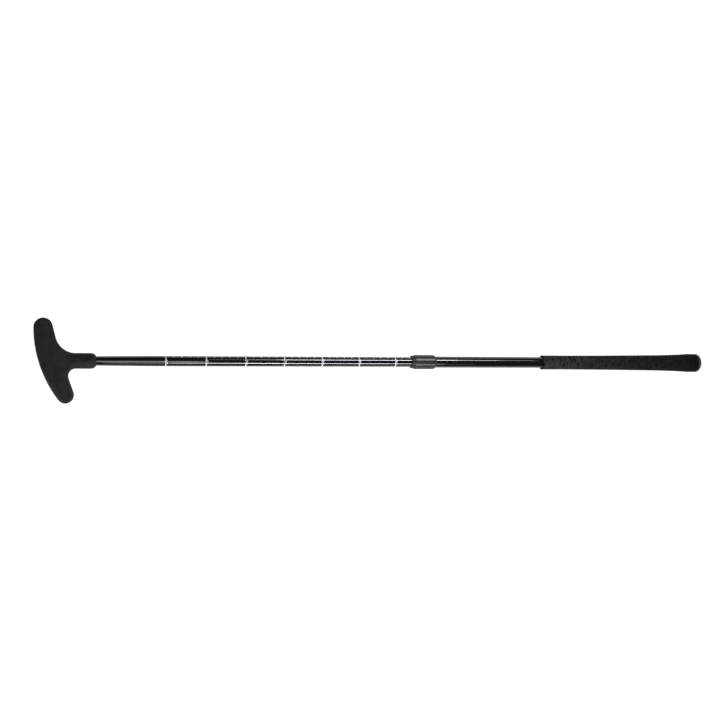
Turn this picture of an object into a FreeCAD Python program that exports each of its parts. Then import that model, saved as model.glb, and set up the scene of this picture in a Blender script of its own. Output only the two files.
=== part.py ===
"""Telescopic two-way putter with a printed length scale, lying flat on one face of its head.

All sizes are millimetres. X runs along the shaft from the head to the butt of the grip,
Y lies across the shaft in the plane of the head, and Z points up, square to the two
hitting faces. The origin is on the ground under the middle of the whole club.
"""
import FreeCAD, Part
import math
import os

# ---------------------------------------------------------------- driving dimensions
OVERALL_LENGTH = 922.0        # front of the sole to the end of the butt, as it is set
GRIP_LENGTH = 250.5
BUTT_DIAMETER = 26.0

# Distances back from the end of the butt
COLLAR_TOP_FROM_BUTT = 408.8
COLLAR_MOUTH_FROM_BUTT = 443.0
HOSEL_END_FROM_BUTT = 848.4

# Head: a crescent with two hitting faces
HEAD_THICKNESS = 26.0
HEAD_EDGE_ROUND = 3.5
ARM_REACH = 51.3              # both arms end this far from the shaft's axis
SOLE_RADIUS = 149.3
SOLE_CENTRE_Y = 41.0
TOE_RADIUS = 10.9             # rounded end of the longer arm
HEEL_RADIUS = 10.2            # rounded end of the shorter, swept arm
TOE_FLANK_ANGLE = 13.9        # how far each arm's inner flank leans from square
HEEL_FLANK_ANGLE = 19.5
TOE_FILLET = 24.0             # inside corners between the arms and the hosel
HEEL_FILLET = 8.8
NECK_HALF_WIDTH = 9.6
BELL_RADIUS = 8.8             # the neck's flare from round to flat
HOSEL_DIAMETER = 18.9
HOSEL_ROUND = 6.5

# Core inside the rubber
CORE_INSET = 5.0
SOCKET_BOSS_DIAMETER = 14.6
SOCKET_DEPTH = 45.0
CORE_SETBACK = 3.5            # rubber left in front of the core at the hosel's end
PIN_DIAMETER = 3.0
PIN_LENGTH = 14.0
PIN_FROM_HOSEL_END = 27.0

# Tubes
LOWER_DIAMETER = 13.0
LOWER_TIP_DIAMETER = 11.6
LOWER_WALL = 0.8
TAPER_LENGTH = 64.3
INSERTION = 60.0              # lower tube inside the collar's mouth at rest
UPPER_DIAMETER = 15.0
UPPER_WALL = 0.65

# Collar and guide bush
COLLAR_DIAMETER = 19.2
COLLAR_SHOULDER = 1.4
COLLAR_CHAMFER_LENGTH = 2.6
COLLAR_CHAMFER_DEPTH = 1.5
BUSH_LIP_DIAMETER = 16.8
BUSH_LIP_LENGTH = 4.2
BUSH_DIAMETER = 15.6
BUSH_LENGTH = 14.8
LIP_ROUND = 0.9

# Grip; its profile is a smooth curve through (distance back from the butt's end, radius)
GRIP_MOUTH_RADIUS = 9.8
GRIP_LIP_LENGTH = 2.4
GRIP_NECK_RADIUS = 9.6
GRIP_PROFILE = [(160.0, 10.1), (110.0, 10.65), (60.0, 11.3), (35.0, 12.15)]
GRIP_FLARE_END = (13.0, BUTT_DIAMETER / 2)
GRIP_TAPE_THICKNESS = 0.2
GRIP_LIP_BORE_LENGTH = 2.0
CAP_THICKNESS = 5.0
CAP_ROUND = 3.5
CAP_SPIGOT_LENGTH = 15.0
VENT_DIAMETER = 2.0

# Twist lock inside the upper tube
RUNNING_FIT = 0.05            # radial clearance of the parts that turn or slide
PLUG_DEPTH = 24.0
FLANGE_LENGTH = 3.0
FLANGE_CLEARANCE = 0.07
SCREW_DIAMETER = 5.0
HEX_ACROSS_FLATS = 8.0
HEX_HEAD_LENGTH = 3.5
WASHER_DIAMETER = 11.0
WASHER_THICKNESS = 1.0
WASHER_GAP = 0.1
SLEEVE_LENGTH = 24.0
SLEEVE_BASE = 6.0
CONE_SMALL_RADIUS = 3.3
CONE_LARGE_RADIUS = 5.2
SLOT_WIDTH = 1.0
SLOT_COUNT = 4
KEY_CLEARANCE = 0.1
KEY_RADIUS = 6.0
RING_FROM_BASE = 3.2
RING_WIDTH = 1.6
RING_DEPTH = 0.9
WEDGE_FROM_BASE = 12.0
WEDGE_OVERHANG = 2.5
NUT_GAP = 1.5
NUT_LENGTH = 4.0
SCREW_TAIL = 1.0

# ---------------------------------------------------------------- derived places
AXIS_Z = BUTT_DIAMETER / 2
BUTT_X = OVERALL_LENGTH / 2
SOLE_X = -OVERALL_LENGTH / 2
GRIP_MOUTH_X = BUTT_X - GRIP_LENGTH
CAP_X = BUTT_X - CAP_THICKNESS
COLLAR_TOP_X = BUTT_X - COLLAR_TOP_FROM_BUTT
COLLAR_MOUTH_X = BUTT_X - COLLAR_MOUTH_FROM_BUTT
BUSH_SHOULDER_X = COLLAR_MOUTH_X + BUSH_LIP_LENGTH
BUSH_END_X = COLLAR_MOUTH_X + BUSH_LENGTH
HOSEL_END_X = BUTT_X - HOSEL_END_FROM_BUTT
TIP_X = HOSEL_END_X - SOCKET_DEPTH
CORE_END_X = HOSEL_END_X - CORE_SETBACK
TUBE_TOP_X = COLLAR_MOUTH_X + INSERTION

HOSEL_RADIUS = HOSEL_DIAMETER / 2
LOWER_RADIUS = LOWER_DIAMETER / 2
TIP_RADIUS = LOWER_TIP_DIAMETER / 2
LOWER_BORE = LOWER_RADIUS - LOWER_WALL
UPPER_RADIUS = UPPER_DIAMETER / 2
UPPER_BORE = UPPER_RADIUS - UPPER_WALL
SCREW_RADIUS = SCREW_DIAMETER / 2
SLEEVE_RADIUS = UPPER_BORE - RUNNING_FIT

FLANGE_END_X = TUBE_TOP_X + FLANGE_LENGTH
WASHER_END_X = FLANGE_END_X + WASHER_THICKNESS
SLEEVE_X = WASHER_END_X + WASHER_GAP
SLEEVE_END_X = SLEEVE_X + SLEEVE_LENGTH
WEDGE_X = SLEEVE_X + WEDGE_FROM_BASE
WEDGE_END_X = SLEEVE_END_X + WEDGE_OVERHANG
NUT_X = WEDGE_END_X + NUT_GAP
NUT_END_X = NUT_X + NUT_LENGTH
SCREW_END_X = NUT_END_X + SCREW_TAIL
SCREW_HEAD_X = TUBE_TOP_X - PLUG_DEPTH

# The sole's arc passes through the front of the head.
SOLE_CENTRE = (SOLE_X + SOLE_RADIUS, SOLE_CENTRE_Y)


# ---------------------------------------------------------------- helpers
def turned(profile):
    """Solid of revolution about the shaft's axis from (x, radius) corners."""
    points = [FreeCAD.Vector(x, 0, AXIS_Z + radius) for x, radius in profile]
    outline = Part.makePolygon(points + [points[0]])
    return turn(outline)


def turn(outline):
    """Turn a closed outline, drawn above the shaft's axis, once round it."""
    return Part.Face(outline).revolve(FreeCAD.Vector(0, 0, AXIS_Z), FreeCAD.Vector(1, 0, 0), 360)


def rod(start_x, end_x, radius):
    """Plain cylinder on the shaft's axis."""
    return Part.makeCylinder(radius, end_x - start_x, FreeCAD.Vector(start_x, 0, AXIS_Z),
                             FreeCAD.Vector(1, 0, 0))


def hexagon(start_x, end_x, across_flats):
    """Six-sided prism on the shaft's axis."""
    corner = across_flats / math.sqrt(3)
    points = []
    for step in range(7):
        angle = math.radians(60 * step)
        points.append(FreeCAD.Vector(start_x, corner * math.cos(angle), AXIS_Z + corner * math.sin(angle)))
    return Part.Face(Part.makePolygon(points)).extrude(FreeCAD.Vector(end_x - start_x, 0, 0))


def section_arc(first, middle, last):
    """Arc through three (x, radius) points of a turned section."""
    points = [FreeCAD.Vector(x, 0, AXIS_Z + radius) for x, radius in (first, middle, last)]
    return Part.Arc(*points).toShape()


def section_lines(corners):
    """Straight edges joining (x, radius) corners in turn."""
    points = [FreeCAD.Vector(x, 0, AXIS_Z + radius) for x, radius in corners]
    return [Part.LineSegment(a, b).toShape() for a, b in zip(points, points[1:])]


def quarter_middle(centre, radius, degrees):
    """Point on an arc at an angle from +X, as (x, radius)."""
    angle = math.radians(degrees)
    return (centre[0] + radius * math.cos(angle), centre[1] + radius * math.sin(angle))


def flat_arc(centre, start, end):
    """Short arc about a centre from start to end, in the plane of the head."""
    radius = math.dist(centre, start)
    lean_x = start[0] + end[0] - 2 * centre[0]
    lean_y = start[1] + end[1] - 2 * centre[1]
    scale = radius / math.hypot(lean_x, lean_y)
    middle = (centre[0] + lean_x * scale, centre[1] + lean_y * scale)
    points = [FreeCAD.Vector(x, y, 0) for x, y in (start, middle, end)]
    return Part.Arc(*points).toShape()


def flat_line(start, end):
    """Straight edge in the plane of the head."""
    return Part.LineSegment(FreeCAD.Vector(*start, 0), FreeCAD.Vector(*end, 0)).toShape()


# ---------------------------------------------------------------- head
def arm_end(radius, centre_y):
    """Centre of an arm's rounded end and the point where it runs into the sole."""
    reach = SOLE_RADIUS - radius
    rise = centre_y - SOLE_CENTRE[1]
    run = math.sqrt(reach ** 2 - rise ** 2)
    centre = (SOLE_CENTRE[0] - run, centre_y)
    stretch = SOLE_RADIUS / reach
    on_sole = (SOLE_CENTRE[0] - run * stretch, SOLE_CENTRE[1] + rise * stretch)
    return centre, on_sole


def head_outline(inset):
    """Crescent head and its neck seen square to the hitting face, drawn in by inset."""
    normal_toe = (math.cos(math.radians(TOE_FLANK_ANGLE)), math.sin(math.radians(TOE_FLANK_ANGLE)))
    normal_heel = (math.cos(math.radians(HEEL_FLANK_ANGLE)), math.sin(math.radians(HEEL_FLANK_ANGLE)))
    toe, toe_sole = arm_end(TOE_RADIUS, ARM_REACH - TOE_RADIUS)
    heel, heel_sole = arm_end(HEEL_RADIUS, HEEL_RADIUS - ARM_REACH)
    neck = NECK_HALF_WIDTH

    # Centres of the two inside corners, from the tangent flanks and the neck's sides.
    toe_corner_y = neck + TOE_FILLET
    toe_corner_x = toe[0] + (TOE_RADIUS + TOE_FILLET - (toe_corner_y - toe[1]) * normal_toe[1]) / normal_toe[0]
    heel_corner_y = -neck - HEEL_FILLET
    heel_corner_x = heel[0] + (HEEL_RADIUS + HEEL_FILLET
                               - (heel_corner_y - heel[1]) * normal_heel[1]) / normal_heel[0]

    def moved(point, normal, distance):
        return (point[0] + normal[0] * distance, point[1] + normal[1] * distance)

    def pulled_in(point, centre):
        share = inset / math.dist(point, centre)
        return (point[0] + (centre[0] - point[0]) * share, point[1] + (centre[1] - point[1]) * share)

    toe_on_sole = pulled_in(toe_sole, SOLE_CENTRE)
    heel_on_sole = pulled_in(heel_sole, SOLE_CENTRE)
    toe_on_flank = moved(toe, normal_toe, TOE_RADIUS - inset)
    heel_on_flank = moved(heel, normal_heel, HEEL_RADIUS - inset)
    toe_corner = (toe_corner_x, toe_corner_y)
    heel_corner = (heel_corner_x, heel_corner_y)
    toe_corner_flank = moved(toe_corner, normal_toe, -TOE_FILLET - inset)
    heel_corner_flank = moved(heel_corner, normal_heel, -HEEL_FILLET - inset)
    toe_corner_neck = (toe_corner_x, neck - inset)
    heel_corner_neck = (heel_corner_x, inset - neck)
    neck_end = heel_corner_x + 3.0

    edges = [
        flat_arc(toe_corner, toe_corner_neck, toe_corner_flank),
        flat_line(toe_corner_flank, toe_on_flank),
        flat_arc(toe, toe_on_flank, toe_on_sole),
        flat_arc(SOLE_CENTRE, toe_on_sole, heel_on_sole),
        flat_arc(heel, heel_on_sole, heel_on_flank),
        flat_line(heel_on_flank, heel_corner_flank),
        flat_arc(heel_corner, heel_corner_flank, heel_corner_neck),
        flat_line(heel_corner_neck, (neck_end, inset - neck)),
        flat_line((neck_end, inset - neck), (neck_end, neck - inset)),
        flat_line((neck_end, neck - inset), toe_corner_neck),
    ]
    return Part.Wire(Part.__sortEdges__(edges)), heel_corner_x


def slab(inset):
    """The crescent as a flat plate, centred on the shaft's axis."""
    outline, _ = head_outline(inset)
    plate = Part.Face(outline).extrude(FreeCAD.Vector(0, 0, HEAD_THICKNESS - 2 * inset))
    plate.translate(FreeCAD.Vector(0, 0, AXIS_Z - HEAD_THICKNESS / 2 + inset))
    return plate


def rim_edges(plate, neck_end_x):
    """Edges round the plate's two faces, leaving out the cut end of the neck."""
    low = AXIS_Z - HEAD_THICKNESS / 2
    chosen = []
    for edge in plate.Edges:
        box = edge.BoundBox
        on_face = min(abs(box.ZMin - low), abs(box.ZMin - low - HEAD_THICKNESS)) < 1e-6
        if box.ZLength < 1e-6 and on_face and box.XMin < neck_end_x - 1e-6:
            chosen.append(edge)
    return chosen


def head_envelope(bell_x):
    """Round outline of the hosel, flaring like a bell into the head."""
    bell_centre = (bell_x, HOSEL_RADIUS + BELL_RADIUS)
    bell_low = (bell_x, HOSEL_RADIUS)
    bell_side = (bell_x - BELL_RADIUS, HOSEL_RADIUS + BELL_RADIUS)
    wide = 2 * ARM_REACH
    round_start = HOSEL_END_X - HOSEL_ROUND
    round_centre = (round_start, HOSEL_RADIUS - HOSEL_ROUND)
    face_radius = TIP_RADIUS + 0.3
    face_angle = math.degrees(math.asin((face_radius - round_centre[1]) / HOSEL_ROUND))
    face = quarter_middle(round_centre, HOSEL_ROUND, face_angle)
    edges = section_lines([
        bell_side, (bell_side[0], wide), (SOLE_X - 1, wide), (SOLE_X - 1, 0), (face[0], 0), face,
    ])
    edges.append(section_arc(face, quarter_middle(round_centre, HOSEL_ROUND, (90 + face_angle) / 2),
                             (round_start, HOSEL_RADIUS)))
    edges += section_lines([(round_start, HOSEL_RADIUS), bell_low])
    edges.append(section_arc(bell_low, quarter_middle(bell_centre, BELL_RADIUS, 225), bell_side))
    bell = turn(Part.Wire(Part.__sortEdges__(edges)))

    # The swept arm reaches past the start of the bell, so it keeps its own room.
    arm_room = Part.makeBox(HOSEL_END_X - SOLE_X + 2, ARM_REACH - bell_side[1], HEAD_THICKNESS + 2,
                            FreeCAD.Vector(SOLE_X - 2, -ARM_REACH - 1, AXIS_Z - HEAD_THICKNESS / 2 - 1))
    return bell.fuse(arm_room)


def head_core_solid():
    """Cast core without its socket: a smaller crescent with a round boss in the neck."""
    boss = rod(SOLE_X + 3 * CORE_INSET, CORE_END_X, SOCKET_BOSS_DIAMETER / 2)
    return slab(CORE_INSET).fuse(boss).removeSplitter()


def shaft_pin():
    """Roll pin that locks the tube in the core, square to the hitting faces."""
    return Part.makeCylinder(PIN_DIAMETER / 2, PIN_LENGTH,
                             FreeCAD.Vector(HOSEL_END_X - PIN_FROM_HOSEL_END, 0, AXIS_Z - PIN_LENGTH / 2),
                             FreeCAD.Vector(0, 0, 1))


def head_cover():
    """Moulded rubber over the core, from the sole to the rounded end of the hosel."""
    _, heel_corner_x = head_outline(0)
    plate = slab(0)
    plate = plate.makeFillet(HEAD_EDGE_ROUND, rim_edges(plate, heel_corner_x + 3.0))
    stock = rod(heel_corner_x - 3.0, HOSEL_END_X + 1, HOSEL_RADIUS + 3.0)
    outer = plate.fuse(stock).common(head_envelope(heel_corner_x + 0.3))
    return outer.cut(head_core_solid()).cut(rod(TIP_X, HOSEL_END_X + 2, TIP_RADIUS)).removeSplitter()


def head_core():
    """Core with the socket that takes the tube's tip, and the pin's cross hole."""
    return head_core_solid().cut(rod(TIP_X, CORE_END_X + 1, TIP_RADIUS)).cut(shaft_pin())


# ---------------------------------------------------------------- tubes
def lower_tube():
    """Lacquered steel tube, drawn down to a narrower tip at the hosel."""
    taper_end = HOSEL_END_X + TAPER_LENGTH
    tip_bore = TIP_RADIUS - LOWER_WALL
    tube = turned([
        (TIP_X, TIP_RADIUS), (HOSEL_END_X, TIP_RADIUS), (taper_end, LOWER_RADIUS), (TUBE_TOP_X, LOWER_RADIUS),
        (TUBE_TOP_X, LOWER_BORE), (taper_end, LOWER_BORE), (HOSEL_END_X, tip_bore), (TIP_X, tip_bore),
    ])
    return tube.cut(shaft_pin())


def upper_tube():
    """Lacquered steel tube from inside the collar to the grip's cap."""
    return turned([
        (BUSH_END_X, UPPER_RADIUS), (CAP_X, UPPER_RADIUS), (CAP_X, UPPER_BORE), (BUSH_END_X, UPPER_BORE),
    ])


# ---------------------------------------------------------------- collar
def guide_bush():
    """Nylon bush that steadies the lower tube, with a lip showing in front of the collar."""
    bore = LOWER_RADIUS + RUNNING_FIT
    lip = BUSH_LIP_DIAMETER / 2
    round_centre = (COLLAR_MOUTH_X + LIP_ROUND, lip - LIP_ROUND)
    edges = section_lines([
        (COLLAR_MOUTH_X + LIP_ROUND, lip), (BUSH_SHOULDER_X, lip), (BUSH_SHOULDER_X, BUSH_DIAMETER / 2),
        (BUSH_END_X, BUSH_DIAMETER / 2), (BUSH_END_X, bore), (COLLAR_MOUTH_X, bore),
        (COLLAR_MOUTH_X, lip - LIP_ROUND),
    ])
    edges.append(section_arc((COLLAR_MOUTH_X, lip - LIP_ROUND), quarter_middle(round_centre, LIP_ROUND, 135),
                             (COLLAR_MOUTH_X + LIP_ROUND, lip)))
    return turn(Part.Wire(Part.__sortEdges__(edges)))


def collar():
    """Moulded collar joined to the end of the upper tube, holding the bush."""
    outer = COLLAR_DIAMETER / 2
    shoulder = (BUSH_SHOULDER_X + COLLAR_SHOULDER, outer - COLLAR_SHOULDER)
    edges = section_lines([
        (shoulder[0], outer), (COLLAR_TOP_X - COLLAR_CHAMFER_LENGTH, outer),
        (COLLAR_TOP_X, outer - COLLAR_CHAMFER_DEPTH), (COLLAR_TOP_X, UPPER_RADIUS), (BUSH_END_X, UPPER_RADIUS),
        (BUSH_END_X, BUSH_DIAMETER / 2), (BUSH_SHOULDER_X, BUSH_DIAMETER / 2), (BUSH_SHOULDER_X, shoulder[1]),
    ])
    edges.append(section_arc((BUSH_SHOULDER_X, shoulder[1]), quarter_middle(shoulder, COLLAR_SHOULDER, 135),
                             (shoulder[0], outer)))
    return turn(Part.Wire(Part.__sortEdges__(edges)))


# ---------------------------------------------------------------- grip
def grip():
    """Rubber grip: a low lip at the mouth, a slow taper, then a flare to the butt."""
    tape_radius = UPPER_RADIUS + GRIP_TAPE_THICKNESS
    lip_end = (GRIP_MOUTH_X + GRIP_LIP_LENGTH, GRIP_MOUTH_RADIUS)
    neck = (lip_end[0] + (GRIP_MOUTH_RADIUS - GRIP_NECK_RADIUS), GRIP_NECK_RADIUS)
    flare_end = (BUTT_X - GRIP_FLARE_END[0], GRIP_FLARE_END[1])
    points = [FreeCAD.Vector(neck[0], 0, AXIS_Z + neck[1])]
    points += [FreeCAD.Vector(BUTT_X - back, 0, AXIS_Z + radius) for back, radius in GRIP_PROFILE]
    points.append(FreeCAD.Vector(flare_end[0], 0, AXIS_Z + flare_end[1]))
    profile = Part.BSplineCurve()
    profile.interpolate(points)
    edges = [profile.toShape()]
    edges += section_lines([
        flare_end, (CAP_X, flare_end[1]), (CAP_X, tape_radius),
        (GRIP_MOUTH_X + GRIP_LIP_BORE_LENGTH, tape_radius),
        (GRIP_MOUTH_X + GRIP_LIP_BORE_LENGTH, UPPER_RADIUS), (GRIP_MOUTH_X, UPPER_RADIUS),
        (GRIP_MOUTH_X, GRIP_MOUTH_RADIUS), lip_end, neck,
    ])
    return turn(Part.Wire(Part.__sortEdges__(edges)))


def grip_tape():
    """Double-sided tape between the upper tube and the grip."""
    start = GRIP_MOUTH_X + GRIP_LIP_BORE_LENGTH
    outer = UPPER_RADIUS + GRIP_TAPE_THICKNESS
    return turned([(start, UPPER_RADIUS), (CAP_X, UPPER_RADIUS), (CAP_X, outer), (start, outer)])


def grip_cap():
    """Smooth end cap with a spigot in the upper tube and a vent through its middle."""
    outer = BUTT_DIAMETER / 2
    vent = VENT_DIAMETER / 2
    round_centre = (BUTT_X - CAP_ROUND, outer - CAP_ROUND)
    edges = section_lines([
        (BUTT_X, outer - CAP_ROUND), (BUTT_X, vent), (CAP_X - CAP_SPIGOT_LENGTH, vent),
        (CAP_X - CAP_SPIGOT_LENGTH, UPPER_BORE), (CAP_X, UPPER_BORE), (CAP_X, outer),
        (BUTT_X - CAP_ROUND, outer),
    ])
    edges.append(section_arc((BUTT_X - CAP_ROUND, outer), quarter_middle(round_centre, CAP_ROUND, 45),
                             (BUTT_X, outer - CAP_ROUND)))
    return turn(Part.Wire(Part.__sortEdges__(edges)))


# ---------------------------------------------------------------- twist lock
def cone_radius(x):
    """Radius of the sleeve's cone at a place along the shaft."""
    slope = (CONE_LARGE_RADIUS - CONE_SMALL_RADIUS) / (SLEEVE_LENGTH - SLEEVE_BASE)
    return CONE_SMALL_RADIUS + (x - SLEEVE_X - SLEEVE_BASE) * slope


def lock_plug():
    """Nylon plug pressed in the top of the lower tube, with a guiding flange."""
    flange = UPPER_BORE - FLANGE_CLEARANCE
    plug = rod(SCREW_HEAD_X, TUBE_TOP_X, LOWER_BORE).fuse(rod(TUBE_TOP_X, FLANGE_END_X, flange))
    plug = plug.cut(rod(SCREW_HEAD_X - 1, FLANGE_END_X + 1, SCREW_RADIUS))
    return plug.cut(hexagon(SCREW_HEAD_X, SCREW_HEAD_X + HEX_HEAD_LENGTH, HEX_ACROSS_FLATS)).removeSplitter()


def lock_screw():
    """Hexagon-headed screw held by the plug; it turns with the lower tube."""
    head = hexagon(SCREW_HEAD_X, SCREW_HEAD_X + HEX_HEAD_LENGTH, HEX_ACROSS_FLATS)
    return head.fuse(rod(SCREW_HEAD_X, SCREW_END_X, SCREW_RADIUS)).removeSplitter()


def thrust_washer():
    """Steel washer between the plug's flange and the expander sleeve."""
    disc = rod(FLANGE_END_X, WASHER_END_X, WASHER_DIAMETER / 2)
    return disc.cut(rod(FLANGE_END_X, WASHER_END_X, SCREW_RADIUS))


def ring_band(inner, outer):
    """Band at the expander sleeve's ring groove."""
    start = SLEEVE_X + RING_FROM_BASE
    end = start + RING_WIDTH
    return turned([(start, inner), (end, inner), (end, outer), (start, outer)])


def expander_sleeve():
    """Slotted nylon sleeve that grips the upper tube's bore when the wedge spreads it."""
    bore = SCREW_RADIUS + RUNNING_FIT
    sleeve = turned([
        (SLEEVE_X, bore), (SLEEVE_X, SLEEVE_RADIUS), (SLEEVE_END_X, SLEEVE_RADIUS),
        (SLEEVE_END_X, CONE_LARGE_RADIUS), (SLEEVE_X + SLEEVE_BASE, CONE_SMALL_RADIUS),
        (SLEEVE_X + SLEEVE_BASE, bore),
    ])
    sleeve = sleeve.cut(ring_band(SLEEVE_RADIUS - RING_DEPTH, SLEEVE_RADIUS + 1))
    slot_corner = FreeCAD.Vector(SLEEVE_X + SLEEVE_BASE + 1, -2 * SLEEVE_RADIUS, AXIS_Z - SLOT_WIDTH / 2)
    for index in range(SLOT_COUNT // 2):
        slot = Part.makeBox(SLEEVE_LENGTH, 4 * SLEEVE_RADIUS, SLOT_WIDTH, slot_corner)
        slot.rotate(FreeCAD.Vector(0, 0, AXIS_Z), FreeCAD.Vector(1, 0, 0), 90 * index)
        sleeve = sleeve.cut(slot)
    return sleeve


def retaining_ring():
    """Rubber ring round the sleeve; its drag on the bore keeps the sleeve from turning."""
    return ring_band(SLEEVE_RADIUS - RING_DEPTH, SLEEVE_RADIUS)


def wedge_nut():
    """Conical nut that the screw draws into the sleeve, keyed in two of its slots."""
    cone = turned([
        (WEDGE_X, 0), (WEDGE_X, cone_radius(WEDGE_X) - RUNNING_FIT),
        (WEDGE_END_X, cone_radius(WEDGE_END_X) - RUNNING_FIT), (WEDGE_END_X, 0),
    ])
    key_width = SLOT_WIDTH - 2 * KEY_CLEARANCE
    keys = Part.makeBox(WEDGE_END_X - WEDGE_X - 1, 2 * KEY_RADIUS, key_width,
                        FreeCAD.Vector(WEDGE_X + 1, -KEY_RADIUS, AXIS_Z - key_width / 2))
    nut = cone.fuse(keys.common(rod(WEDGE_X, WEDGE_END_X, KEY_RADIUS)))
    return nut.cut(rod(WEDGE_X - 1, WEDGE_END_X + 1, SCREW_RADIUS + RUNNING_FIT)).removeSplitter()


def stop_nut():
    """Nut at the end of the screw; it keeps the wedge from winding off."""
    return hexagon(NUT_X, NUT_END_X, HEX_ACROSS_FLATS).cut(rod(NUT_X - 1, NUT_END_X + 1, SCREW_RADIUS))


# ---------------------------------------------------------------- every node
NODES = [
    head_cover, head_core, shaft_pin, lower_tube,
    lock_plug, lock_screw, thrust_washer, stop_nut,
    expander_sleeve, retaining_ring, wedge_nut,
    guide_bush, collar, upper_tube,
    grip_tape, grip, grip_cap,
]

os.makedirs("parts", exist_ok=True)
for make in NODES:
    shape = make()
    if len(shape.Solids) == 1:
        shape = shape.Solids[0]
    box = shape.optimalBoundingBox(False)
    print("%-16s valid %s solids %d volume %9.1f  x %.1f..%.1f  y %.1f..%.1f  z %.1f..%.1f" % (
        make.__name__, shape.isValid(), len(shape.Solids), shape.Volume,
        box.XMin, box.XMax, box.YMin, box.YMax, box.ZMin, box.ZMax))
    shape.exportStep("parts/%s.step" % make.__name__)
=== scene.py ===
"""Looks of the telescopic two-way putter: its visible pieces, materials, light and camera.

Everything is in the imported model's own frame: X runs from the head to the grip's butt, Y
across the shaft in the plane of the head, Z up. The pieces are worked out in millimetres
and turned into metres as their meshes are made. Lights, camera and floor are in metres.
"""

import math

import bmesh
import bpy
import numpy as np
from mathutils import Matrix, Vector


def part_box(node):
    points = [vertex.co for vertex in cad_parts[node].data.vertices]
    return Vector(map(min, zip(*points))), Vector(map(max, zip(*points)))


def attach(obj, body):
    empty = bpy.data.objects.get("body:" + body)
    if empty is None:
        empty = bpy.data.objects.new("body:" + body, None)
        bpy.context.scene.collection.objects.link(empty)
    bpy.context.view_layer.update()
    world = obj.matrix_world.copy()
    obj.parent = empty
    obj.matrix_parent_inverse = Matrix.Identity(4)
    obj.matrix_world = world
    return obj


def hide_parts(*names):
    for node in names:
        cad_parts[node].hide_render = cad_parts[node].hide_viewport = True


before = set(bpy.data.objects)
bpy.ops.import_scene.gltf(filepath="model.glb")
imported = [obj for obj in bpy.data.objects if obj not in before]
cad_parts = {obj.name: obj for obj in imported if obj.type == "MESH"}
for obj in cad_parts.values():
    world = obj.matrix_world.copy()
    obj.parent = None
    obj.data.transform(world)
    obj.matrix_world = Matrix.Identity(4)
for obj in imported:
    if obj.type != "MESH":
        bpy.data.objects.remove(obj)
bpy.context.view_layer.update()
MM = 0.001


# ---------------------------------------------------------------- places read from the frame
def span(node):
    """Start and end of a node along the shaft, in millimetres."""
    low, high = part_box(node)
    return float(low[0]) / MM, float(high[0]) / MM


def outer_radius(node):
    """Distance of a turned node's outside from the shaft's axis, in millimetres."""
    low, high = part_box(node)
    return float(high[1] - low[1]) / 2 / MM


def middle_height(node):
    """Height of a node's middle, in millimetres."""
    low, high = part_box(node)
    return float(low[2] + high[2]) / 2 / MM


AXIS_Z = middle_height("upper_tube")
HOSEL_CROWN = 0.81            # what the flat round the tube takes off the hosel's rounded end
SOLE_X, HOSEL_FLAT_X = span("head_cover")
HOSEL_END_X = HOSEL_FLAT_X + HOSEL_CROWN
ARM_REACH = outer_radius("head_cover")
HEAD_HALF = float(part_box("head_cover")[1][2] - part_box("head_cover")[0][2]) / 2 / MM
TIP_X, TUBE_TOP_X = span("lower_tube")
LOWER_R = outer_radius("lower_tube")
UPPER_START_X, UPPER_END_X = span("upper_tube")
UPPER_R = outer_radius("upper_tube")
BUSH_X, BUSH_END_X = span("guide_bush")
BUSH_R = outer_radius("guide_bush")
COLLAR_X, COLLAR_END_X = span("collar")
COLLAR_R = outer_radius("collar")
GRIP_X, GRIP_END_X = span("grip")
CAP_START_X, BUTT_X = span("grip_cap")
BUTT_R = outer_radius("grip_cap")
TAPE_R = outer_radius("grip_tape")

# Sizes of the tubes that the boxes can't give, in millimetres
LOWER_TIP_R = 5.8
LOWER_WALL = 0.8
TAPER_LENGTH = 64.3
UPPER_WALL = 0.65


# ---------------------------------------------------------------- meshes
def add_piece(name, points, faces, body, replaced=()):
    """New closed mesh from points in millimetres, riding on a body and standing for nodes."""
    mesh = bpy.data.meshes.new(name)
    mesh.from_pydata((np.asarray(points) * MM).tolist(), [], faces)
    piece = bpy.data.objects.new(name, mesh)
    bpy.context.scene.collection.objects.link(piece)
    face_outwards(mesh)
    settle(piece, body, replaced)
    return piece


def settle(piece, body, replaced):
    """Ties a piece to its body and the nodes it stands for."""
    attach(piece, body)
    if replaced:
        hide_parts(*replaced)


def face_outwards(mesh):
    """Turns every face of a closed mesh outwards."""
    work = bmesh.new()
    work.from_mesh(mesh)
    bmesh.ops.recalc_face_normals(work, faces=work.faces)
    work.to_mesh(mesh)
    work.free()


def smooth(piece, sharp_degrees=35):
    """Smooth shading that keeps edges sharper than an angle."""
    piece.data.shade_smooth()
    piece.data.set_sharp_from_angle(angle=math.radians(sharp_degrees))


def softened(corners, steps=5):
    """Closed (x, radius) section from (x, radius, rounding) corners, each corner rounded."""
    points = []
    for i, (x, r, rounding) in enumerate(corners):
        here = np.array((x, r), float)
        if rounding <= 0:
            points.append(here)
            continue
        before = np.array(corners[i - 1][:2], float) - here
        after = np.array(corners[(i + 1) % len(corners)][:2], float) - here
        start = before / np.linalg.norm(before) * rounding
        end = after / np.linalg.norm(after) * rounding
        for t in np.linspace(0, 1, steps):
            points.append(here + start * (1 - t) ** 2 + end * t ** 2)
    return points


def ring_faces(rows, columns):
    """Quads of a grid of rows by columns that wraps round both ways."""
    faces = []
    for i in range(rows):
        below = i * columns
        above = ((i + 1) % rows) * columns
        for j in range(columns):
            k = (j + 1) % columns
            faces.append((below + j, above + j, above + k, below + k))
    return faces


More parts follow.
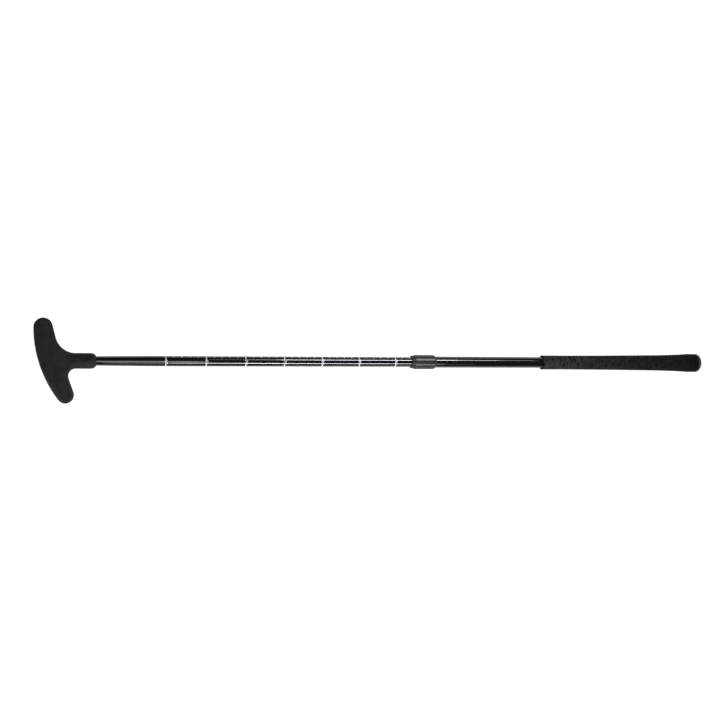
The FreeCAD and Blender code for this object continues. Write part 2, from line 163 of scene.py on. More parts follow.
def turned_points(section, columns):
    """Points of a section swept round the shaft's axis."""
    section = np.asarray(section, float)
    angles = np.linspace(0, 2 * math.pi, columns, endpoint=False)
    x = np.repeat(section[:, 0], columns)
    radius = np.repeat(section[:, 1], columns)
    angle = np.tile(angles, len(section))
    return np.c_[x, radius * np.cos(angle), AXIS_Z + radius * np.sin(angle)]


def guarded(section, margin=0.5):
    """Section with two points near each end of its long runs, so that shading stays true along them."""
    points = []
    for here, after in zip(section, list(section[1:]) + [section[0]]):
        here, after = np.array(here, float), np.array(after, float)
        run = np.linalg.norm(after - here)
        points.append(here)
        if run > 4 * margin:
            step = (after - here) / run * margin
            points += [here + step, here + 2 * step, after - 2 * step, after - step]
    return points


def turned_piece(name, section, columns, body, replaced):
    """Ring-shaped piece turned about the shaft from a closed section."""
    section = guarded(section)
    points = turned_points(section, columns)
    piece = add_piece(name, points, ring_faces(len(section), columns), body, replaced)
    smooth(piece)
    return piece


def turned_tool(name, section, columns):
    """Solid turned about the shaft, for cutting; its section starts and ends on the axis."""
    work = bmesh.new()
    rings = []
    for x, radius in section:
        ring = []
        for j in range(columns if radius else 1):
            angle = 2 * math.pi * j / columns
            place = Vector((x, radius * math.cos(angle), AXIS_Z + radius * math.sin(angle)))
            ring.append(work.verts.new(place * MM))
        rings.append(ring)
    for near, far in zip(rings, rings[1:]):
        for j in range(columns):
            k = (j + 1) % columns
            corners = [near[j % len(near)], near[k % len(near)], far[k % len(far)], far[j % len(far)]]
            work.faces.new(list(dict.fromkeys(corners)))
    bmesh.ops.recalc_face_normals(work, faces=work.faces)
    mesh = bpy.data.meshes.new(name)
    work.to_mesh(mesh)
    work.free()
    tool = bpy.data.objects.new(name, mesh)
    bpy.context.scene.collection.objects.link(tool)
    return tool


def evaluated_copy(piece, name):
    """Mesh of a piece with its modifiers applied."""
    bpy.context.view_layer.update()
    seen = piece.evaluated_get(bpy.context.evaluated_depsgraph_get())
    mesh = bpy.data.meshes.new_from_object(seen)
    mesh.name = name
    return mesh


def cut_from(piece, tool):
    """Takes the tool's solid out of the piece."""
    cut = piece.modifiers.new("cut", "BOOLEAN")
    cut.operation = "DIFFERENCE"
    cut.solver = "EXACT"
    cut.object = tool
    mesh = evaluated_copy(piece, piece.name)
    piece.modifiers.clear()
    old = piece.data
    piece.data = mesh
    bpy.data.meshes.remove(old)
    bpy.data.objects.remove(tool)


# ---------------------------------------------------------------- head
SOLE_RADIUS = 149.3
SOLE_CENTRE = (SOLE_X + SOLE_RADIUS, 41.0)
TOE_RADIUS = 10.9
HEEL_RADIUS = 10.2
TOE_FLANK = math.radians(13.9)
HEEL_FLANK = math.radians(19.5)
TOE_FILLET = 24.0
HEEL_FILLET = 8.8
NECK_HALF_WIDTH = 9.5
HOSEL_R = 9.45
HOSEL_ROUND = 6.5
EDGE_ROUND = 3.5
NECK_BLEND_START = SOLE_X + 28.4      # the flat plate turns into the round hosel between these
NECK_BLEND_END = SOLE_X + 46.4
OUTLINE_PAST_HOSEL = 20.0             # the outline's neck runs on past the hosel's end

HEAD_VOXEL = 0.62
BLANK_PLATE_END = NECK_BLEND_END + 6
BLANK_NECK_START = SOLE_X + 20
BLANK_NECK_SIDES = 48
FIT_ROUNDS = 7
ROUNDS_WITHOUT_EVENING = 2            # the last ones only bring the points on to the surface
EVENING = 0.5
LEAST_SLOPE = 0.3
BORE_SIDES = 96
BORE_PAST_HOSEL = 3.0
HEAD_SHARP_DEGREES = 50


def arc_run(centre, start, end, step_mm=0.6):
    """Points on the short arc about a centre, from start up to but not including end."""
    centre, start, end = (np.array(p, float) for p in (centre, start, end))
    radius = np.linalg.norm(start - centre)
    first = math.atan2(*(start - centre)[::-1])
    sweep = (math.atan2(*(end - centre)[::-1]) - first + math.pi) % (2 * math.pi) - math.pi
    count = max(4, round(abs(sweep) * radius / step_mm))
    angles = first + sweep * np.arange(count) / count
    return [centre + radius * np.array((math.cos(a), math.sin(a))) for a in angles]


def head_outline():
    """Crescent and neck seen square to the hitting face, as a closed run of points."""
    def arm_end(radius, centre_y):
        """Centre of an arm's rounded end, and the point where it runs into the sole."""
        reach = SOLE_RADIUS - radius
        rise = centre_y - SOLE_CENTRE[1]
        run = math.sqrt(reach ** 2 - rise ** 2)
        stretch = SOLE_RADIUS / reach
        centre = np.array((SOLE_CENTRE[0] - run, centre_y))
        return centre, np.array((SOLE_CENTRE[0] - run * stretch, SOLE_CENTRE[1] + rise * stretch))

    toe, toe_sole = arm_end(TOE_RADIUS, ARM_REACH - TOE_RADIUS)
    heel, heel_sole = arm_end(HEEL_RADIUS, HEEL_RADIUS - ARM_REACH)
    toe_out = np.array((math.cos(TOE_FLANK), math.sin(TOE_FLANK)))
    heel_out = np.array((math.cos(HEEL_FLANK), math.sin(HEEL_FLANK)))
    toe_corner_y = NECK_HALF_WIDTH + TOE_FILLET
    heel_corner_y = -NECK_HALF_WIDTH - HEEL_FILLET
    toe_reach = TOE_RADIUS + TOE_FILLET - (toe_corner_y - toe[1]) * toe_out[1]
    heel_reach = HEEL_RADIUS + HEEL_FILLET - (heel_corner_y - heel[1]) * heel_out[1]
    toe_corner = np.array((toe[0] + toe_reach / toe_out[0], toe_corner_y))
    heel_corner = np.array((heel[0] + heel_reach / heel_out[0], heel_corner_y))
    toe_flank = toe + toe_out * TOE_RADIUS
    heel_flank = heel + heel_out * HEEL_RADIUS
    toe_neck = np.array((toe_corner[0], NECK_HALF_WIDTH))
    heel_neck = np.array((heel_corner[0], -NECK_HALF_WIDTH))
    past_end = HOSEL_END_X + OUTLINE_PAST_HOSEL

    points = [np.array((past_end, NECK_HALF_WIDTH))]
    points += arc_run(toe_corner, toe_neck, toe_corner - toe_out * TOE_FILLET)
    points.append(toe_corner - toe_out * TOE_FILLET)
    points += arc_run(toe, toe_flank, toe_sole)
    points += arc_run(SOLE_CENTRE, toe_sole, heel_sole)
    points += arc_run(heel, heel_sole, heel_flank)
    points.append(heel_flank)
    points += arc_run(heel_corner, heel_corner - heel_out * HEEL_FILLET, heel_neck)
    points += [heel_neck, np.array((past_end, -NECK_HALF_WIDTH))]
    return np.array(points)


OUTLINE = head_outline()


def outline_distance(places):
    """Signed distance of (x, y) places from the outline, negative inside."""
    steps = np.roll(OUTLINE, -1, axis=0) - OUTLINE
    squares = (steps ** 2).sum(1)
    nearest = np.full(len(places), np.inf)
    inside = np.zeros(len(places), bool)
    for (ax, ay), (dx, dy), square in zip(OUTLINE, steps, squares):
        px = places[:, 0] - ax
        py = places[:, 1] - ay
        t = np.clip((px * dx + py * dy) / square, 0, 1)
        nearest = np.minimum(nearest, (px - t * dx) ** 2 + (py - t * dy) ** 2)
        crosses = (py < 0) != (py < dy)
        if dy != 0:
            inside ^= crosses & (px < py * dx / dy)
    distance = np.sqrt(nearest)
    return np.where(inside, -distance, distance)


def rounded_both(first, second, radius):
    """Distance to where two solids overlap, with the edge between them rounded."""
    a = first + radius
    b = second + radius
    return np.minimum(np.maximum(a, b), 0) + np.hypot(np.maximum(a, 0), np.maximum(b, 0)) - radius


def head_distance(points):
    """Signed distance of points from the head's outer surface."""
    x = points[:, 0]
    share = np.clip((x - NECK_BLEND_START) / (NECK_BLEND_END - NECK_BLEND_START), 0, 1)
    share = share * share * (3 - 2 * share)
    half = HEAD_HALF + (HOSEL_R - HEAD_HALF) * share
    rounding = EDGE_ROUND + (HOSEL_R - EDGE_ROUND) * share
    flat = outline_distance(points[:, :2])
    plate = rounded_both(flat, np.abs(points[:, 2] - AXIS_Z) - half, rounding)
    return rounded_both(plate, x - HOSEL_END_X, HOSEL_ROUND)


def slope(function, points, step=0.02):
    """Value of a distance function at points, its gradient there, and the gradient's size."""
    value = function(points)
    gradient = np.empty_like(points)
    for axis in range(3):
        nudge = np.zeros(3)
        nudge[axis] = step
        gradient[:, axis] = (function(points + nudge) - function(points - nudge)) / (2 * step)
    size = np.linalg.norm(gradient, axis=1)
    return value, gradient, size


def head_blank():
    """Rough closed solid of the head: the thick plate and a round neck, remeshed evenly."""
    plate = bmesh.new()
    keep = OUTLINE[OUTLINE[:, 0] < BLANK_PLATE_END]
    low = [plate.verts.new((x, y, AXIS_Z - HEAD_HALF)) for x, y in keep]
    high = [plate.verts.new((x, y, AXIS_Z + HEAD_HALF)) for x, y in keep]
    plate.faces.new(low)
    plate.faces.new(high[::-1])
    for i in range(len(keep)):
        j = (i + 1) % len(keep)
        plate.faces.new((low[i], high[i], high[j], low[j]))
    turn = Matrix.Rotation(math.pi / 2, 4, "Y")
    centre = Matrix.Translation(((BLANK_NECK_START + HOSEL_END_X) / 2, 0, AXIS_Z))
    bmesh.ops.create_cone(plate, cap_ends=True, segments=BLANK_NECK_SIDES, radius1=HOSEL_R, radius2=HOSEL_R,
                          depth=HOSEL_END_X - BLANK_NECK_START, matrix=centre @ turn)
    bmesh.ops.recalc_face_normals(plate, faces=plate.faces)
    mesh = bpy.data.meshes.new("blank")
    plate.to_mesh(mesh)
    plate.free()
    blank = bpy.data.objects.new("blank", mesh)
    bpy.context.scene.collection.objects.link(blank)
    remesh = blank.modifiers.new("even", "REMESH")
    remesh.mode = "VOXEL"
    remesh.voxel_size = HEAD_VOXEL
    even = evaluated_copy(blank, "even")
    bpy.data.objects.remove(blank)
    return even


def neighbour_mean(points, edges):
    """Mean of each point's neighbours along the edges."""
    total = np.zeros_like(points)
    count = np.zeros(len(points))
    for a, b in ((0, 1), (1, 0)):
        np.add.at(total, edges[:, a], points[edges[:, b]])
        np.add.at(count, edges[:, a], 1)
    return total / count[:, None]


def fit_to_head(mesh):
    """Slides the mesh's points on to the head's surface, evening them out on the way."""
    points = np.array([v.co for v in mesh.vertices])
    edges = np.array([e.vertices[:] for e in mesh.edges])
    for i in range(FIT_ROUNDS):
        value, gradient, size = slope(head_distance, points)
        points = points - gradient * (value / np.maximum(size, LEAST_SLOPE) ** 2)[:, None]
        if i < FIT_ROUNDS - ROUNDS_WITHOUT_EVENING:
            normal = gradient / size[:, None]
            drift = neighbour_mean(points, edges) - points
            points = points + EVENING * (drift - normal * (drift * normal).sum(1)[:, None])
    mesh.vertices.foreach_set("co", points.ravel())
    mesh.update()


def make_head():
    """Moulded rubber head with the bore that takes the tube's tip."""
    mesh = head_blank()
    fit_to_head(mesh)
    mesh.transform(Matrix.Scale(MM, 4))
    head = bpy.data.objects.new("rubber_head", mesh)
    bpy.context.scene.collection.objects.link(head)
    bore_end_x = HOSEL_END_X + BORE_PAST_HOSEL
    section = [(TIP_X, 0.0), (TIP_X, LOWER_TIP_R), (bore_end_x, LOWER_TIP_R), (bore_end_x, 0.0)]
    cut_from(head, turned_tool("bore", section, BORE_SIDES))
    face_outwards(head.data)
    smooth(head, HEAD_SHARP_DEGREES)
    settle(head, "head_section", ("head_cover",))
    return head


# ---------------------------------------------------------------- tubes, bush and collar
TUBE_COLUMNS = 128
EDGE_SOFT = 0.15
TAPER_SOFT = 3.0


def make_lower_tube():
    """Lacquered tube, narrower at the hosel."""
    taper_end = HOSEL_END_X + TAPER_LENGTH
    section = softened([
        (TIP_X, LOWER_TIP_R, EDGE_SOFT), (HOSEL_END_X, LOWER_TIP_R, TAPER_SOFT),
        (taper_end, LOWER_R, TAPER_SOFT),
        (TUBE_TOP_X, LOWER_R, EDGE_SOFT), (TUBE_TOP_X, LOWER_R - LOWER_WALL, EDGE_SOFT),
        (taper_end, LOWER_R - LOWER_WALL, 0), (HOSEL_END_X, LOWER_TIP_R - LOWER_WALL, 0),
        (TIP_X, LOWER_TIP_R - LOWER_WALL, EDGE_SOFT),
    ])
    return turned_piece("lacquered_lower_tube", section, TUBE_COLUMNS, "head_section",
                        ("lower_tube",))


def make_upper_tube():
    """Lacquered tube from the collar to the grip's cap."""
    inner = UPPER_R - UPPER_WALL
    section = softened([
        (UPPER_START_X, UPPER_R, EDGE_SOFT), (UPPER_END_X, UPPER_R, EDGE_SOFT),
        (UPPER_END_X, inner, EDGE_SOFT), (UPPER_START_X, inner, EDGE_SOFT),
    ])
    return turned_piece("lacquered_upper_tube", section, TUBE_COLUMNS, "grip_section",
                        ("upper_tube",))


BUSH_COLUMNS = 96
BUSH_BORE = 6.55
BUSH_SEAT_R = 7.8
BUSH_LIP_ROUND = 1.0
COLLAR_SHOULDER = 1.4
COLLAR_CHAMFER = (2.6, 1.5)           # along the shaft, and across it


def make_bush():
    """Guide bush, whose lip shows in front of the collar."""
    section = softened([
        (BUSH_X, BUSH_R, BUSH_LIP_ROUND), (COLLAR_X, BUSH_R, 0.1), (COLLAR_X, BUSH_SEAT_R, 0),
        (BUSH_END_X, BUSH_SEAT_R, 0.2), (BUSH_END_X, BUSH_BORE, 0.2), (BUSH_X, BUSH_BORE, 0.4),
    ])
    return turned_piece("mouth_bush", section, BUSH_COLUMNS, "grip_section", ("guide_bush",))


def make_collar():
    """Collar over the joint, rounded in front and chamfered behind."""
    section = softened([
        (COLLAR_X, COLLAR_R, COLLAR_SHOULDER), (COLLAR_END_X - COLLAR_CHAMFER[0], COLLAR_R, 0.4),
        (COLLAR_END_X, COLLAR_R - COLLAR_CHAMFER[1], 0.1), (COLLAR_END_X, UPPER_R, 0),
        (UPPER_START_X, UPPER_R, 0), (UPPER_START_X, BUSH_SEAT_R, 0), (COLLAR_X, BUSH_SEAT_R, 0),
    ], steps=8)
    return turned_piece("joint_collar", section, TUBE_COLUMNS, "grip_section",
                        ("collar",))


# ---------------------------------------------------------------- grip
GRIP_LIP = 2.4
GRIP_LIP_R = 9.8
GRIP_LIP_STEP = 0.3
GRIP_NECK_R = 9.6
GRIP_NECK_X = GRIP_X + GRIP_LIP + GRIP_LIP_STEP
GRIP_FLARE = ((160, 10.1), (110, 10.65), (60, 11.3), (35, 12.15), (13, BUTT_R))  # (back from butt, radius)
GRIP_END_EDGE = 0.15
GRIP_SHARP_DEGREES = 60
PLAIN_AT_MOUTH = 24.0
PLAIN_MOUTH_ROWS = 18
PLAIN_AT_BUTT = 15.0
PLAIN_BUTT_ROWS = 14

# Ribs run round the grip in short dashes, and every other rib's dashes are half a dash round.
RIB_PITCH = 2.9
RIB_DEPTH = 0.55
RIB_ROWS = 8
RIB_SHARPNESS = 1.6
DASHES = 12
DASH_COLUMNS = 12
DASH_SHARPNESS = 3.0
BETWEEN_DASHES = 0.35                 # share of a rib's height left between its dashes
BAR_BIAS = 0.25                       # makes bars wider than the grooves between them


def grip_radius(x):
    """Grip's outside without its ribs: a smooth curve that never dips between its points."""
    xs = np.array([GRIP_NECK_X] + [BUTT_X - back for back, _ in GRIP_FLARE])
    rs = np.array([GRIP_NECK_R] + [r for _, r in GRIP_FLARE])
    chord = np.diff(rs) / np.diff(xs)
    tilt = np.zeros(len(xs))
    tilt[1:-1] = 2 * chord[:-1] * chord[1:] / (chord[:-1] + chord[1:])
    tilt[0] = chord[0]
    i = np.clip(np.searchsorted(xs, x) - 1, 0, len(xs) - 2)
    width = xs[i + 1] - xs[i]
    t = np.clip((x - xs[i]) / width, 0, 1)
    return ((2 * t ** 3 - 3 * t ** 2 + 1) * rs[i] + (t ** 3 - 2 * t ** 2 + t) * width * tilt[i]
            + (3 * t ** 2 - 2 * t ** 3) * rs[i + 1] + (t ** 3 - t ** 2) * width * tilt[i + 1])


def bar(wave, sharpness):
    """Flat-topped bars with soft sides from a cosine: 1 on a bar, 0 in a groove."""
    return 0.5 + 0.5 * np.tanh(sharpness * (wave + BAR_BIAS)) / math.tanh(sharpness * (1 + BAR_BIAS))


def make_grip():
    """Tapered grip: plain at both ends, with staggered short ribs between."""
    ribs_start = GRIP_X + PLAIN_AT_MOUTH
    rib_count = round((GRIP_END_X - PLAIN_AT_BUTT - ribs_start) / RIB_PITCH)
    ribs_end = ribs_start + rib_count * RIB_PITCH
    section = softened([
        (GRIP_X, TAPE_R, 0), (GRIP_X, GRIP_LIP_R, 0.5), (GRIP_X + GRIP_LIP, GRIP_LIP_R, 0.3),
        (GRIP_NECK_X, GRIP_NECK_R, 0),
    ])
    outside = np.concatenate((
        np.linspace(GRIP_NECK_X + 0.5, ribs_start, PLAIN_MOUTH_ROWS, endpoint=False),
        np.linspace(ribs_start, ribs_end, rib_count * RIB_ROWS, endpoint=False),
        np.linspace(ribs_end, GRIP_END_X - GRIP_END_EDGE, PLAIN_BUTT_ROWS),
    ))
    section += [np.array((x, float(grip_radius(x)))) for x in outside]
    section += [np.array((GRIP_END_X, BUTT_R - GRIP_END_EDGE)), np.array((GRIP_END_X, TAPE_R))]

    columns = DASHES * DASH_COLUMNS
    points = turned_points(section, columns)
    x = points[:, 0]
    radius = np.hypot(points[:, 1], points[:, 2] - AXIS_Z)
    turn_share = np.tile(np.arange(columns) / columns, len(section))
    along = (x - ribs_start) / RIB_PITCH
    stagger = np.where(np.floor(along) % 2 == 0, 0.0, 0.5)
    across = bar(-np.cos(2 * math.pi * along), RIB_SHARPNESS)
    around = bar(np.cos(2 * math.pi * (turn_share * DASHES + stagger)), DASH_SHARPNESS)
    height = across * (BETWEEN_DASHES + (1 - BETWEEN_DASHES) * around)
    outside_wall = radius > (TAPE_R + GRIP_NECK_R) / 2
    ribbed = (x >= ribs_start) & (x < ribs_end) & outside_wall
    fade = np.clip(np.minimum(x - ribs_start, ribs_end - x) / RIB_PITCH, 0, 1)
    sunk = np.where(ribbed, RIB_DEPTH * (1 - height) * fade, 0.0)
    scale = (radius - sunk) / radius
    points[:, 1] *= scale
    points[:, 2] = AXIS_Z + (points[:, 2] - AXIS_Z) * scale
    grip = add_piece("ribbed_grip", points, ring_faces(len(section), columns), "grip_section",
                     ("grip",))
    smooth(grip, GRIP_SHARP_DEGREES)
    return grip


CAP_ROUND = 3.5
CAP_SPIGOT_R = 6.85
VENT_R = 1.0


def make_cap():
    """End cap with its spigot in the upper tube and a vent through its middle."""
    section = softened([
        (GRIP_END_X, BUTT_R, 0.15), (BUTT_X, BUTT_R, CAP_ROUND), (BUTT_X, VENT_R, 0.5),
        (CAP_START_X, VENT_R, 0.2), (CAP_START_X, CAP_SPIGOT_R, 0.5), (GRIP_END_X, CAP_SPIGOT_R, 0),
    ], steps=14)
    return turned_piece("butt_cap", section, TUBE_COLUMNS, "grip_section", ("grip_cap",))


# ---------------------------------------------------------------- printed scale
# Angles are measured round the tube from +Y towards +Z, in degrees.
FIRST_RING_X = SOLE_X + 156.3
RING_GAP = 50.0
RING_COUNT = 8
FIRST_NUMBER = 60
NUMBER_STEP = 5
TICK_GAP = 10.0
RING_WIDTH = 1.1
RING_STEPS = 90
RING_BREAK = 27.0                     # on each side of the ring's number
TICK_WIDTH = 0.8
TICK_STEPS = 8
TICK_ANGLES = (8.0, 44.0)
INK_LOW = 6.485                       # just inside the tube's own radius of 6.5
INK_HIGH = 6.525
NUMBER_ANGLE = 98.0
NUMBER_DROP = 0.38                    # how much of a figure lies on the head's side of its ring
DIGIT_HEIGHT = 3.5
DIGIT_WIDTH_STRETCH = 1.25
FIGURE_STRIPS = 21                    # a number is cut into this many strips, to bend round the tube
INK_SHARP_DEGREES = 30


class Print:
    """Collects closed ink shapes into one mesh."""
    def __init__(self):
        self.points = []
        self.faces = []

    def add(self, points, faces):
        """Takes in one closed shape, whose faces count from its own first point."""
        first = len(self.points)
        self.points += [tuple(p) for p in points]
        self.faces += [tuple(first + i for i in face) for face in faces]

    def patch(self, x, width, angles, steps):
        """Bar across the shaft between two angles."""
        half = width / 2
        corners = [(x - half, INK_LOW), (x - half, INK_HIGH), (x + half, INK_HIGH), (x + half, INK_LOW)]
        points = []
        for angle in np.radians(np.linspace(*angles, steps)):
            points += [(px, r * math.cos(angle), AXIS_Z + r * math.sin(angle)) for px, r in corners]
        faces = [tuple(range(4)), tuple(range(4 * steps - 1, 4 * steps - 5, -1))]
        for i in range(steps - 1):
            for j in range(4):
                k = (j + 1) % 4
                faces.append((4 * i + j, 4 * i + 4 + j, 4 * i + 4 + k, 4 * i + k))
        self.add(points, faces)

    def number(self, text, x):
        """Figures written round the tube, their tops towards the grip."""
        curve = bpy.data.curves.new("figures", "FONT")
        curve.body = text
        curve.size = 1.0
        curve.align_x = "CENTER"
        curve.extrude = 0.5
        curve.resolution_u = 3
        holder = bpy.data.objects.new("figures", curve)
        bpy.context.scene.collection.objects.link(holder)
        mesh = evaluated_copy(holder, "figures")
        bpy.data.objects.remove(holder)
        work = bmesh.new()
        work.from_mesh(mesh)
        bmesh.ops.remove_doubles(work, verts=work.verts, dist=1e-5)
        rise = max(v.co.y for v in work.verts)
        left = min(v.co.x for v in work.verts)
        right = max(v.co.x for v in work.verts)
        for cut in np.linspace(left, right, FIGURE_STRIPS + 1)[1:-1]:
            everything = work.verts[:] + work.edges[:] + work.faces[:]
            bmesh.ops.bisect_plane(work, geom=everything, plane_co=(cut, 0, 0), plane_no=(1, 0, 0))
        scale = DIGIT_HEIGHT / rise
        middle = math.radians(NUMBER_ANGLE)
        points = []
        for v in work.verts:
            angle = middle + v.co.x * scale * DIGIT_WIDTH_STRETCH / LOWER_R
            radius = INK_HIGH if v.co.z > 0 else INK_LOW
            points.append((x + v.co.y * scale, radius * math.cos(angle), AXIS_Z + radius * math.sin(angle)))
        work.verts.index_update()
        faces = [tuple(v.index for v in f.verts) for f in work.faces]
        self.add(points, faces)
        work.free()
        bpy.data.meshes.remove(mesh)


def make_scale():
    """Rings with their numbers, and the ticks between them, as raised ink."""
    ink = Print()
    for i in range(RING_COUNT):
        ring_x = FIRST_RING_X + i * RING_GAP
        ring_ends = (NUMBER_ANGLE + RING_BREAK, NUMBER_ANGLE + 360 - RING_BREAK)
        ink.patch(ring_x, RING_WIDTH, ring_ends, RING_STEPS)
        ink.number(str(FIRST_NUMBER + NUMBER_STEP * i), ring_x - DIGIT_HEIGHT * NUMBER_DROP)
        ticks = round(RING_GAP / TICK_GAP) - 1 if i < RING_COUNT - 1 else 0
        for step in range(ticks):
            ink.patch(ring_x + (step + 1) * TICK_GAP, TICK_WIDTH, TICK_ANGLES, TICK_STEPS)
    piece = add_piece("printed_scale", ink.points, ink.faces, "head_section")
    smooth(piece, INK_SHARP_DEGREES)
    return piece


# ---------------------------------------------------------------- materials
MIX_FIRST, MIX_SECOND, MIX_RESULT = 6, 7, 2     # a Mix node's colour sockets


class Finish:
    """Procedural material: noises laid out in the piece's own space, feeding one shader."""
    def __init__(self, name, colour, roughness, **shader_inputs):
        self.material = bpy.data.materials.new(name)
        self.material.use_nodes = True
        self.tree = self.material.node_tree
        self.tree.nodes.clear()
        output = self.tree.nodes.new("ShaderNodeOutputMaterial")
        self.shader = self.tree.nodes.new("ShaderNodeBsdfPrincipled")
        self.tree.links.new(self.shader.outputs["BSDF"], output.inputs["Surface"])
        self.shader.inputs["Base Color"].default_value = (*colour, 1)
        self.shader.inputs["Roughness"].default_value = roughness
        for key, value in shader_inputs.items():
            self.shader.inputs[key.replace("_", " ")].default_value = value
        self.place = self.tree.nodes.new("ShaderNodeTexCoord").outputs["Object"]

    def join(self, source, target):
        """Links an output to an input."""
        self.tree.links.new(source, target)

    def stretched(self, stretch, turn=(0, 0, 0)):
        """Place coordinates scaled and turned about the axes."""
        mapping = self.tree.nodes.new("ShaderNodeMapping")
        mapping.inputs["Scale"].default_value = stretch
        mapping.inputs["Rotation"].default_value = turn
        self.join(self.place, mapping.inputs["Vector"])
        return mapping.outputs["Vector"]

    def noise(self, size_mm, detail=3.0, rough=0.55, place=None):
        """Noise whose features are about size_mm across."""
        node = self.tree.nodes.new("ShaderNodeTexNoise")
        node.inputs["Scale"].default_value = 1 / (size_mm * MM)
        node.inputs["Detail"].default_value = detail
        node.inputs["Roughness"].default_value = rough
        self.join(place or self.place, node.inputs["Vector"])
        return node.outputs["Fac"]

    def specks(self, size_mm):
        """Distance from scattered points: small near each."""
        node = self.tree.nodes.new("ShaderNodeTexVoronoi")
        node.inputs["Scale"].default_value = 1 / (size_mm * MM)
        self.join(self.place, node.inputs["Vector"])
        return node.outputs["Distance"]

    def ramp(self, value, low, high, start=0.0, end=1.0):
        """Value rescaled from low-high to start-end, clamped."""
        node = self.tree.nodes.new("ShaderNodeMapRange")
        node.inputs["From Min"].default_value = low
        node.inputs["From Max"].default_value = high
        node.inputs["To Min"].default_value = start
        node.inputs["To Max"].default_value = end
        self.join(value, node.inputs["Value"])
        return node.outputs["Result"]

    def along(self, start_mm, end_mm, at_start, at_end):
        """Value that changes evenly along the shaft between two places."""
        node = self.tree.nodes.new("ShaderNodeSeparateXYZ")
        self.join(self.place, node.inputs["Vector"])
        return self.ramp(node.outputs["X"], start_mm * MM, end_mm * MM, at_start, at_end)

    def combine(self, first, second, operation="ADD"):
        """Two values, each a number or from a socket, put through one operation."""
        node = self.tree.nodes.new("ShaderNodeMath")
        node.operation = operation
        for value, socket in zip((first, second), node.inputs):
            if isinstance(value, (int, float)):
                socket.default_value = value
            else:
                self.join(value, socket)
        return node.outputs["Value"]

    def blend(self, share, first, second):
        """Colour between two colours, each given or from a socket."""
        node = self.tree.nodes.new("ShaderNodeMix")
        node.data_type = "RGBA"
        self.join(share, node.inputs["Factor"])
        for value, socket in zip((first, second), (node.inputs[MIX_FIRST], node.inputs[MIX_SECOND])):
            if isinstance(value, tuple):
                socket.default_value = (*value, 1)
            else:
                self.join(value, socket)
        return node.outputs[MIX_RESULT]

    def relief(self, height, depth_mm, under=None):
        """Bump of a height map of 0 to 1, depth_mm deep."""
        node = self.tree.nodes.new("ShaderNodeBump")
        node.inputs["Distance"].default_value = depth_mm * MM
        self.join(height, node.inputs["Height"])
        if under is not None:
            self.join(under, node.inputs["Normal"])
        return node.outputs["Normal"]

    def finish(self, colour=None, roughness=None, normal=None):
        """Links what is given to the shader and hands back the material."""
        for socket, name in ((colour, "Base Color"), (roughness, "Roughness"), (normal, "Normal")):
            if socket is not None:
                self.join(socket, self.shader.inputs[name])
        return self.material


def head_rubber():
    """Matt charcoal rubber with a moulded grain."""
    made = Finish("head_rubber", (0.02, 0.02, 0.022), 0.6, Specular_IOR_Level=0.08)
    clouds = made.noise(9, 4)
    grain = made.noise(1.6, 5, 0.7)
    fine = made.noise(0.35, 3, 0.6)
    shade = made.combine(made.ramp(clouds, 0.3, 0.7, 0, 0.45), made.ramp(grain, 0.32, 0.68, 0, 0.55))
    colour = made.blend(shade, (0.0028, 0.0030, 0.0036), (0.0142, 0.0147, 0.0165))
    rough = made.ramp(grain, 0.3, 0.7, 0.5, 0.72)
    bump = made.relief(fine, 0.05, made.relief(grain, 0.06))
    return made.finish(colour, rough, bump)


def lacquer():
    """High-gloss black lacquer with orange peel, dust and scuffs along the tube."""
    made = Finish("shaft_lacquer", (0.003, 0.003, 0.0035), 0.07)
    peel = made.noise(2.2, 2)
    dust = made.noise(0.5, 5, 0.7)
    scuffs = made.noise(1.1, 4, 0.6, made.stretched((0.08, 1, 1)))
    colour = made.blend(made.ramp(dust, 0.62, 0.8), (0.0022, 0.0027, 0.0040), (0.010, 0.011, 0.013))
    rough = made.combine(made.ramp(dust, 0.55, 0.8, 0.06, 0.1), made.ramp(scuffs, 0.6, 0.8, 0, 0.03))
    return made.finish(colour, rough, made.relief(peel, 0.0004))


def satin_plastic():
    """Satin charcoal plastic of the collar."""
    made = Finish("collar_plastic", (0.015, 0.015, 0.016), 0.33, Specular_IOR_Level=0.36)
    grain = made.noise(0.6, 4, 0.6)
    cloud = made.noise(5, 3)
    colour = made.blend(made.ramp(cloud, 0.3, 0.7), (0.006, 0.0063, 0.0069), (0.0115, 0.0119, 0.0126))
    rough = made.ramp(grain, 0.3, 0.7, 0.27, 0.42)
    return made.finish(colour, rough, made.relief(grain, 0.012))


def bush_nylon():
    """Black nylon of the guide bush."""
    made = Finish("bush_nylon", (0.01, 0.01, 0.011), 0.5, Specular_IOR_Level=0.25)
    grain = made.noise(0.4, 3)
    colour = made.blend(made.ramp(grain, 0.3, 0.7), (0.004, 0.004, 0.0045), (0.009, 0.009, 0.0096))
    return made.finish(colour, made.ramp(grain, 0.3, 0.7, 0.4, 0.6), made.relief(grain, 0.02))


GRIP_MOUTH_PAINTED_LIGHT = 1.42               # painted light at the grip's mouth, a multiplier on the rubber's grey
GRIP_BUTT_PAINTED_LIGHT_LEFT = 0.14                 # and what is left of it at the butt: painted shade, as the light falls off along the grip
